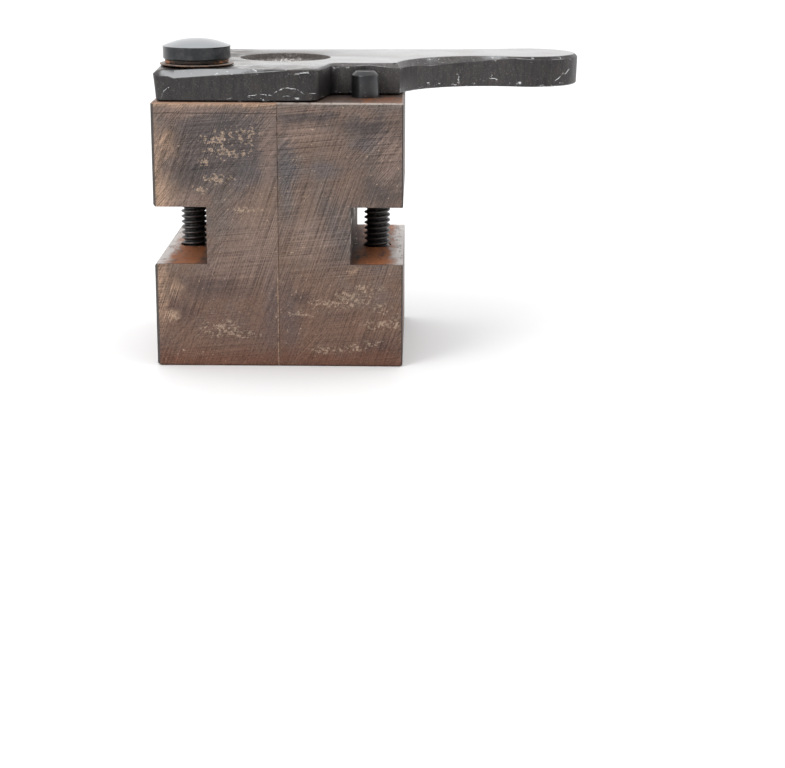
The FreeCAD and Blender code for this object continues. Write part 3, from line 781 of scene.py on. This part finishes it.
def corner_arc(before, corner, after, radius):
    """Points of the fillet that rounds a corner between two straight runs."""
    back, ahead = (before - corner).normalized(), (after - corner).normalized()
    half = back.angle(ahead) / 2
    reach = radius / math.tan(half)
    start, end = corner + back * reach, corner + ahead * reach
    centre = corner + (back + ahead).normalized() * radius / math.sin(half)
    count = max(4, round((math.pi - 2 * half) * radius / OUTLINE_STEP))
    first, last = start - centre, end - centre
    sweep = first.angle_signed(last)
    return [centre + Matrix.Rotation(-sweep * i / count, 2) @ first for i in range(count + 1)]


def circle_arc(centre, radius, start, end):
    """Points of an arc between two angles."""
    count = max(4, round(abs(end - start) * radius / OUTLINE_STEP))
    angles = [start + (end - start) * i / count for i in range(count + 1)]
    return [centre + towards(a) * radius for a in angles]


def straight(start, end):
    """Points along a straight run, without its two ends."""
    count = max(2, round((end - start).length / (2 * OUTLINE_STEP)))
    return [start.lerp(end, i / count) for i in range(1, count)]


def keyed(keys, share):
    """A value from (share, value) keys, in straight lines between them, or a constant."""
    if not isinstance(keys, list):
        return keys
    for (start, low), (end, high) in zip(keys, keys[1:]):
        if share <= end:
            return low + (high - low) * (share - start) / (end - start)
    return keys[-1][1]


def towards(bearing):
    """A unit vector in plan, at an angle from +X."""
    return Vector((math.cos(bearing), math.sin(bearing)))


def plate_outline():
    """The plate's plan, anticlockwise from the front left.

    Each row is (point, bevel width, draft, how bright the bevel is, how bright its burr is).
    """
    thumb = WAIST_CENTRE + towards(THUMB_BEARING) * (WAIST_RADIUS + THUMB_RADIUS)
    to_thumb = thumb - BACK_BEND
    heading = math.atan2(to_thumb.y, to_thumb.x) + math.asin(THUMB_RADIUS / to_thumb.length)
    back_touch = BACK_BEND + towards(heading) * math.sqrt(
        to_thumb.length**2 - THUMB_RADIUS**2)
    touch_angle = math.atan2(*(back_touch - thumb).yx)

    front_left = Vector((PLATE_LEFT, PLATE_FRONT))
    nose = Vector((NOSE_X, PLATE_FRONT))
    notch_inner = Vector((NOTCH_INNER_X, NOTCH_WALL_Y))
    drop = NOTCH_WALL_Y - WAIST_CENTRE.y
    notch_outer = Vector((WAIST_CENTRE.x - math.sqrt(WAIST_RADIUS**2 - drop**2), NOTCH_WALL_Y))
    back_left = Vector((PLATE_LEFT, PLATE_BACK_LEFT))
    waist_start = math.pi - math.asin(drop / WAIST_RADIUS)

    corners = {
        "front_left": corner_arc(back_left, front_left, nose, 1.5),
        "nose": corner_arc(front_left, nose, notch_inner, 2.2),
        "notch": corner_arc(nose, notch_inner, notch_outer, 1.6),
        "bend": corner_arc(back_touch, BACK_BEND, back_left, 20.0),
        "back_left": corner_arc(BACK_BEND, back_left, front_left, 6.0),
    }
    front = straight(corners["front_left"][-1], corners["nose"][0])
    s_curve = straight(corners["nose"][-1], corners["notch"][0])
    notch_wall = straight(corners["notch"][-1], notch_outer)
    waist = circle_arc(WAIST_CENTRE, WAIST_RADIUS, waist_start, THUMB_BEARING)
    tip = circle_arc(thumb, THUMB_RADIUS, THUMB_BEARING - math.pi, touch_angle)[1:]
    handle_back = straight(back_touch, corners["bend"][0])
    back = straight(corners["bend"][-1], corners["back_left"][0])
    left = straight(corners["back_left"][-1], corners["front_left"][0])

    # Bevel width, draft, bevel brightness and burr brightness along each section: a constant,
    # or keys.
    sections = [
        (corners["front_left"], [(0, 0.8), (1, 1.1)], [(0, 0.45), (1, 0.12)],
         [(0, 0.35), (0.6, 0.1), (1, 0.8)], [(0, 0.0), (1, 0.3)]),
        (front, [(0, 1.1), (0.04, 1.4), (0.15, 1.25), (0.4, 0.9), (0.86, 0.24), (1, 0.2)],
         [(0, 0.12), (1, 0.1)], [(0, 1.0), (0.5, 0.95), (0.72, 0.5), (0.85, 0.1), (1, 0.0)],
         [(0, 0.4), (0.3, 0.1), (0.5, 0.6), (0.8, 0.9), (0.9, 0.3), (1, 0.1)]),
        (corners["nose"], [(0, 0.2), (1, 0.25)], 0.1, 0.0, [(0, 0.2), (1, 0.1)]),
        (s_curve, [(0, 0.25), (1, 0.35)], 0.1, 0.0, 0.0),
        (corners["notch"], [(0, 0.35), (1, 0.55)], 0.1, [(0, 0), (1, 0.15)],
         [(0, 0.2), (1, 0.1)]),
        (notch_wall, [(0, 0.55), (0.45, 0.3), (1, 0.75)], 0.1,
         [(0, 0.15), (0.3, 0.1), (1, 0.25)], [(0, 0.1), (0.3, 0.9), (0.65, 0.8), (1, 0.3)]),
        (waist, [(0, 0.8), (0.25, 0.95), (0.43, 1.25), (0.6, 1.05), (0.77, 0.8), (0.88, 0.55),
                 (0.94, 0.36), (1, 0.28)], [(0, 0.1), (1, 0.15)],
         [(0, 0.0), (0.3, -0.2), (0.38, 0.2), (0.43, 0.5), (0.5, 0.4), (0.56, -0.1),
          (0.7, -0.1), (0.8, 0.5), (0.88, 0.8), (0.94, 0.5), (1, -0.2)],
         [(0, 0.2), (0.35, 0.2), (0.42, 0.9), (0.5, 0.3), (0.7, 0.1), (1, 0.5)]),
        (tip, [(0, 0.32), (0.1, 0.5), (0.25, 0.55), (0.45, 0.5), (1, 0.4)], 0.15,
         [(0, -0.3), (0.1, -0.6), (0.18, -0.6), (0.21, 0.3), (0.27, 0.3), (0.3, -0.5),
          (0.42, -0.4), (0.55, 0.1), (1, 0.2)],
         [(0, 0.9), (0.08, 0.7), (0.1, 0.1), (0.18, 0.1), (0.2, 0.9), (0.27, 0.9), (0.29, 0.1),
          (1, 0.1)]),
        (handle_back, 0.4, [(0, 0.15), (1, 0.1)], 0.2, 0.1),
        (corners["bend"], 0.4, 0.1, 0.2, 0.1),
        (back, [(0, 0.4), (1, 0.45)], 0.1, 0.2, 0.1),
        (corners["back_left"], [(0, 0.45), (1, 0.5)], [(0, 0.1), (1, 0.3)],
         [(0, 0.2), (1, 0.4)], 0.1),
        (left, [(0, 0.5), (0.7, 0.5), (1, 0.8)], [(0, 0.3), (1, 0.45)], [(0, 0.4), (1, 0.5)],
         0.1),
    ]
    rows = []
    for points, *keys in sections:
        last = max(1, len(points) - 1)
        for i, point in enumerate(points):
            rows.append((point, *(keyed(key, i / last) for key in keys)))
    return rows


def inward_normals(points):
    """Unit vectors that point into an anticlockwise outline, one per point."""
    found = []
    for i, here in enumerate(points):
        run = (points[(i + 1) % len(points)] - here).normalized()
        run += (here - points[i - 1]).normalized()
        found.append(Vector((-run.y, run.x)).normalized())
    return found


def fill_between(work, outer, holes):
    """Fills the flat area between an outer loop and hole loops of vertices."""
    edges = []
    for loop in (outer, *holes):
        for a, b in zip(loop, loop[1:] + loop[:1]):
            edges.append(work.edges.get((a, b)) or work.edges.new((a, b)))
    bmesh.ops.triangle_fill(work, edges=edges, use_beauty=True, use_dissolve=False)


def ring_of(work, centre, radius, height, count=96):
    """A loop of vertices round a vertical axis."""
    angles = [math.tau * i / count for i in range(count)]
    return [work.verts.new((centre[0] + radius * math.cos(a), centre[1] + radius * math.sin(a),
                            height)) for a in angles]


def bridge(work, lower, upper):
    """Quads between two loops of the same length."""
    count = len(lower)
    for i in range(count):
        j = (i + 1) % count
        work.faces.new((lower[i], lower[j], upper[j], upper[i]))


def corner_dip(point):
    """How far the worn top has sunk near the plate's front left corner."""
    away = (point - Vector((PLATE_LEFT + 2.0, PLATE_FRONT))).length
    return DIP_DEPTH * math.exp(-((away / DIP_REACH) ** 2))


def make_sprue_plate():
    """The plate with hand-ground bevels of changing width, a drafted wall and nicked edges."""
    rows = plate_outline()
    inward = inward_normals([row[0] for row in rows])
    work = bmesh.new()
    bright = work.verts.layers.float.new("bright")

    def loop(height_of, inset_of, wobble, bright_of=lambda facet, burr: 0.0):
        made = []
        for i, (point, bevel, draft, facet, burr) in enumerate(rows):
            rough = noise.noise(Vector((*(point * ROUGHNESS_SCALE), len(work.verts) * 1e-4)))
            spot = point + inward[i] * max(0.0, inset_of(bevel, draft) + rough * wobble)
            vertex = work.verts.new((spot.x, spot.y, height_of(bevel, corner_dip(point))))
            vertex[bright] = bright_of(facet, burr)
            made.append(vertex)
        return made

    chip = 0.2
    rings = [
        loop(lambda b, dip: PLATE_BOTTOM, lambda b, d: d + chip, 0.12),
        loop(lambda b, dip: PLATE_BOTTOM + chip, lambda b, d: d, 0.06),
        loop(lambda b, dip: PLATE_BOTTOM + 1.6, lambda b, d: d * 0.7, 0.05),
        loop(lambda b, dip: PLATE_BOTTOM + 3.0, lambda b, d: d * 0.35, 0.05),
        loop(lambda b, dip: PLATE_TOP - b - 0.04, lambda b, d: 0.02, 0.02),
        loop(lambda b, dip: PLATE_TOP - b + 0.03, lambda b, d: 0.05, 0.02,
             lambda facet, burr: burr),
        loop(lambda b, dip: PLATE_TOP - b + 0.12, lambda b, d: 0.12, 0.02,
             lambda facet, burr: facet * abs(facet)),
        loop(lambda b, dip: PLATE_TOP - dip - 0.05, lambda b, d: b * 0.95, 0.03,
             lambda facet, burr: facet),
        loop(lambda b, dip: PLATE_TOP - dip, lambda b, d: b + 0.12, 0.03,
             lambda facet, burr: facet * 0.8),
        loop(lambda b, dip: PLATE_TOP - dip * 0.7, lambda b, d: b + 0.3, 0.03),
    ]
    for lower, upper in zip(rings, rings[1:]):
        bridge(work, lower, upper)

    centre = (0.0, FUNNEL_Y)
    throat_top = PLATE_BOTTOM + THROAT_HEIGHT
    funnel = [
        ring_of(work, centre, THROAT_RADIUS, PLATE_BOTTOM),
        ring_of(work, centre, THROAT_RADIUS, throat_top),
        ring_of(work, centre, THROAT_RADIUS * 0.6 + FUNNEL_RADIUS * 0.4,
                throat_top * 0.6 + PLATE_TOP * 0.4),
        ring_of(work, centre, FUNNEL_RADIUS - 0.12, PLATE_TOP - 0.08),
        ring_of(work, centre, FUNNEL_RADIUS + 0.06, PLATE_TOP),
    ]
    for upper, lower in zip(funnel, funnel[1:]):
        bridge(work, upper, lower)
    pivot_hole = [ring_of(work, PIVOT, PIVOT_HOLE_RADIUS, height)
                  for height in (PLATE_BOTTOM, PLATE_TOP)]
    bridge(work, *pivot_hole)
    fill_between(work, rings[0], [funnel[0], pivot_hole[0]])
    fill_between(work, rings[-1], [funnel[-1], pivot_hole[-1]])

    bmesh.ops.scale(work, vec=(MM, MM, MM), verts=work.verts)
    bmesh.ops.recalc_face_normals(work, faces=work.faces)
    data = bpy.data.meshes.new("sprue_plate_ground")
    work.to_mesh(data)
    work.free()
    data.shade_smooth()
    data.set_sharp_from_angle(angle=math.radians(28))
    piece = bpy.data.objects.new("sprue_plate_ground", data)
    bpy.context.scene.collection.objects.link(piece)
    soften(piece, 0.05, 24)
    return piece


# ---------------------------------------------------------------------------------------
# Turned parts
# ---------------------------------------------------------------------------------------

def make_pivot_screw():
    """Domed head with a thin lip, a smooth shoulder and a plain, unthreaded end."""
    low, high = box_mm("pivot_screw")
    head_radius = (high.x - low.x) / 2
    head_bottom = box_mm("spring_washer")[1].z
    dome_height = 1.1
    neck_radius, shoulder_radius, end_radius = 2.2, 2.98, 2.45
    rim = high.z - dome_height
    dome_ball = (head_radius**2 + dome_height**2) / (2 * dome_height)
    profile = [
        (0.0, low.z), (end_radius - 0.35, low.z), (end_radius, low.z + 0.4),
        (end_radius, BLOCK_HEIGHT - 0.5), (neck_radius, BLOCK_HEIGHT - 0.4),
        (neck_radius, BLOCK_HEIGHT), (shoulder_radius, BLOCK_HEIGHT),
        (shoulder_radius, head_bottom), (head_radius - 0.1, head_bottom),
        (head_radius, head_bottom + 0.15), (head_radius, rim - 0.15),
        (head_radius + 0.04, rim),
    ]
    profile = eased(profile, 0.08)
    steps = 14
    lip_width = 0.12
    edge_angle = math.asin((head_radius - lip_width) / dome_ball)
    for i in range(steps + 1):
        angle = edge_angle * (1 - i / steps)
        profile.append((dome_ball * math.sin(angle), high.z - dome_ball * (1 - math.cos(angle))))
    return turned("pivot_screw_domed", profile, (PIVOT.x, PIVOT.y, 0))


def make_flat_washer():
    """Plain washer, a little dished, with rolled edges."""
    low, high = box_mm("flat_washer")
    outer, inner = (high.x - low.x) / 2, 3.1
    dish_height, dish_width, hollow = 0.12, 0.9, 0.04
    profile = eased([
        (inner, low.z), (outer - dish_width, low.z), (outer, low.z + dish_height),
        (outer, high.z), (inner, high.z - hollow), (inner, low.z),
    ], 0.1)
    profile.append(profile[0])
    return turned("flat_washer_dished", profile, (PIVOT.x, PIVOT.y, 0))


def make_spring_washer():
    """Split washer whose two ends stand a little apart in height."""
    low, high = box_mm("spring_washer")
    outer, inner = (high.x - low.x) / 2, 3.15
    height = high.z - low.z
    thick = height * 0.78
    rise = height - thick
    gap = math.radians(10)
    steps = 90
    ease = 0.1
    section = [
        (inner + ease, 0), (outer - ease, 0), (outer, ease), (outer, thick - ease),
        (outer - ease, thick), (inner + ease, thick), (inner, thick - ease), (inner, ease),
    ]
    points = []
    for step in range(steps + 1):
        share = step / steps
        angle = math.pi / 2 + gap / 2 + (math.tau - gap) * share
        lift = low.z + rise * share
        for radius, above in section:
            points.append((PIVOT.x + radius * math.cos(angle),
                           PIVOT.y + radius * math.sin(angle), lift + above))
    size = len(section)
    faces = wrapped_faces(steps + 1, size)
    faces.append(tuple(range(size)))
    faces.append(tuple(steps * size + i for i in reversed(range(size))))
    return mesh("spring_washer_split", points, faces, 40)


def make_lock_screw():
    """Headless screw in the left side face, with a low domed end and a slot."""
    low, high = box_mm("pivot_lock_screw")
    centre = (low + high) / 2
    radius = (high.z - low.z) / 2
    length = high.x - low.x
    slot_half, slot_depth, beyond = 0.3, 0.8, 3
    profile = eased([
        (0.0, 0.0), (radius * 0.55, 0.12), (radius * 0.9, 0.45), (radius, 0.85),
        (radius, length - 0.35), (radius - 0.5, length), (0.0, length),
    ], 0.2)
    piece = turned("pivot_lock_screw_slotted", profile, (low.x, centre.y, centre.z),
                   Vector((1, 0, 0)), 64)
    cut_by_box(piece, (low.x - 1, centre.y - slot_half, centre.z - beyond),
               (low.x + slot_depth, centre.y + slot_half, centre.z + beyond))
    soften(piece, 0.04)
    return piece


def make_stop_pin():
    """Dowel with a chamfered top."""
    low, high = box_mm("stop_pin")
    centre = (low + high) / 2
    radius = (high.x - low.x) / 2
    foot, chamfer_width, chamfer_height = 0.3, 0.7, 0.62
    profile = eased([
        (0.0, low.z), (radius - foot, low.z), (radius, low.z + foot),
        (radius, high.z - chamfer_height), (radius - chamfer_width, high.z), (0.0, high.z),
    ], 0.12)
    return turned("stop_pin_chamfered", profile, (centre.x, centre.y, 0))


def make_guide_pin(node):
    """Ground dowel with a rounded, tapered point."""
    low, high = box_mm(node)
    centre = (low + high) / 2
    radius = (high.y - low.y) / 2
    length = high.x - low.x
    profile = eased([
        (0.0, 0.0), (radius - 0.2, 0.0), (radius, 0.2), (radius, length - 1.3),
        (radius - 0.25, length - 0.7), (radius * 0.5, length), (0.0, length),
    ], 0.35)
    return turned(node + "_ground", profile, (low.x, centre.y, centre.z), Vector((1, 0, 0)), 64)


THREAD_PITCH = 0.86
THREAD_DEPTH = 0.46


def thread_radius(crest, turn_share):
    """Radius of a V thread with a flat crest and a rounded root, over one turn share 0 to 1."""
    away = abs(turn_share - 0.5) * 2
    depth = min(1.0, max(0.0, (away - 0.14) / 0.70))
    return crest - THREAD_DEPTH * (depth - 0.08 * math.sin(math.tau * depth))


def make_handle_screw(node, name):
    """Slotted cheese-head screw with a helical thread all the way through the slot."""
    low, high = box_mm(node)
    centre = (low + high) / 2
    head_radius = (high.x - low.x) / 2
    crest = 2.08
    head_height, shank_length, end_taper = 2.3, 5.0, 1.2
    slot_half, slot_depth, beyond = 0.4, 1.0, 4
    head_top = low.z + head_height
    thread_start = head_top + shank_length
    around, per_turn = 48, 12
    rows = [(0.0, low.z), (head_radius - 0.25, low.z), (head_radius - 0.06, low.z + 0.1),
            (head_radius, low.z + 0.3), (head_radius, head_top - 0.12),
            (head_radius - 0.12, head_top), (crest + 0.15, head_top), (crest, head_top + 0.15),
            (crest, thread_start)]
    points = []

    def add_ring(radius_at, height):
        for step in range(around):
            angle = math.tau * step / around
            radius = radius_at(step / around, height)
            points.append((centre.x + radius * math.cos(angle),
                           centre.y + radius * math.sin(angle), height))

    for radius, height in rows:
        add_ring(lambda share, z, fixed=radius: fixed, height)

    def helical(share, z):
        fade_in = min(1.0, (z - thread_start) / THREAD_PITCH)
        cut = crest - thread_radius(crest, (z / THREAD_PITCH - share) % 1.0)
        tip = max(0.0, 1 - (high.z - z) / end_taper) * 0.5
        return crest - max(cut * fade_in, tip)

    height = thread_start
    step_up = THREAD_PITCH / per_turn
    while height + step_up < high.z:
        height += step_up
        add_ring(helical, height)
    add_ring(helical, high.z)
    add_ring(lambda share, z: 0.0, high.z)
    piece = mesh(name, points, wrapped_faces(len(points) // around, around), 50)
    cut_by_box(piece, (centre.x - beyond, centre.y - slot_half, low.z - 1),
               (centre.x + beyond, centre.y + slot_half, low.z + slot_depth))
    piece.data.shade_smooth()
    piece.data.set_sharp_from_angle(angle=math.radians(50))
    return piece


# ---------------------------------------------------------------------------------------
# Assembly
# ---------------------------------------------------------------------------------------

def coat(piece, material):
    """Gives a piece a procedural material in place of what it had."""
    piece.data.materials.clear()
    piece.data.materials.append(material)


def place(piece, material, body, node, slot):
    """Gives a piece its material and its body, and hides its CAD node. slot is not used."""
    coat(piece, material)
    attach(piece, body)
    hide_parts(node)


coat(frame["nodes"]["left_block"], block_iron("left_block_iron", LEFT_PATCHES, left_end=True))
coat(frame["nodes"]["right_block"], block_iron("right_block_iron", RIGHT_PATCHES, left_end=False))
place(make_sprue_plate(), plate_steel(), "sprue_plate", "sprue_plate", "plate_steel")

BLUED = blued_steel()
RUSTY = rusty_steel()
OXIDE = black_oxide()
GROUND = ground_steel()
place(make_pivot_screw(), BLUED, "left_half", "pivot_screw", "blued_steel")
place(make_lock_screw(), BLUED, "left_half", "pivot_lock_screw", "blued_steel")
place(make_stop_pin(), BLUED, "right_half", "stop_pin", "blued_steel")
place(make_flat_washer(), RUSTY, "left_half", "flat_washer", "rusty_steel")
place(make_spring_washer(), RUSTY, "left_half", "spring_washer", "rusty_steel")
for side in ("left", "right"):
    screw = make_handle_screw(f"{side}_handle_screw", f"{side}_handle_screw_threaded")
    place(screw, OXIDE, f"{side}_half", f"{side}_handle_screw", "black_oxide_screw")
for node in ("front_guide_pin", "rear_guide_pin"):
    place(make_guide_pin(node), GROUND, "left_half", node, "ground_steel")


# ---------------------------------------------------------------------------------------
# Floor, light and camera
# ---------------------------------------------------------------------------------------

def make_floor():
    """A wide, plain, pale floor."""
    reach = 4000
    floor = mesh("floor", [(-reach, -reach, 0), (reach, -reach, 0), (reach, reach, 0),
                           (-reach, reach, 0)], [(0, 1, 2, 3)])
    s = Surface("pale_floor", metallic=0.0)
    shade = s.noise(0.004, 2.0, 0.5).fade(0.3, 0.7)
    colour = s.blend(shade, rgb(0.70, 0.70, 0.705), rgb(0.72, 0.72, 0.72))
    floor.data.materials.append(s.finish(colour, 0.6))


def make_light():
    """A soft square light at the front left, aimed at the middle of the block."""
    lamp = bpy.data.lights.new("front_left", "AREA")
    lamp.size = 260 * MM
    lamp.energy = 1.5
    held = bpy.data.objects.new("front_left", lamp)
    held.location = Vector((-320, -380, 330)) * MM
    aim = Vector((0, 0, 25)) * MM - held.location
    held.rotation_euler = aim.to_track_quat("-Z", "Y").to_euler()
    bpy.context.scene.collection.objects.link(held)


def make_world():
    """A studio surround: bright overhead and behind, dimmer on the camera's side."""
    world = bpy.data.worlds.new("studio")
    bpy.context.scene.world = world
    world.use_nodes = True
    sky = Nodes(world.node_tree)
    y, z = sky.split(sky.where.outputs["Generated"])[1:]
    behind = y.fade(-0.7, 0.35) * 1.02 + 0.40
    overhead = z.fade(0.35, 0.95) * 2.2
    background = world.node_tree.nodes["Background"]
    background.inputs["Color"].default_value = rgb(1.0, 1.0, 1.0)
    sky.link(sky.most(behind, overhead), background.inputs["Strength"])


def make_camera():
    """The camera, by its place, its aim below the horizon, its turn and its slight roll."""
    data = bpy.data.cameras.new("camera")
    data.sensor_width = 36.0
    data.lens = 86.35
    data.clip_start = 0.01
    data.clip_end = 50.0
    camera = bpy.data.objects.new("camera", data)
    camera.location = Vector((21.5, -300.77, 73.55)) * MM
    down, turn, roll = (math.radians(a) for a in (15.075, -0.804, 0.177))
    camera.rotation_euler = (
        Matrix.Rotation(-turn, 3, "Z") @ Matrix.Rotation(math.pi / 2 - down, 3, "X")
        @ Matrix.Rotation(roll, 3, "Z")).to_euler()
    bpy.context.scene.collection.objects.link(camera)
    bpy.context.scene.camera = camera


make_floor()
make_world()
make_light()
make_camera()
bpy.context.scene.view_settings.view_transform = "Standard"
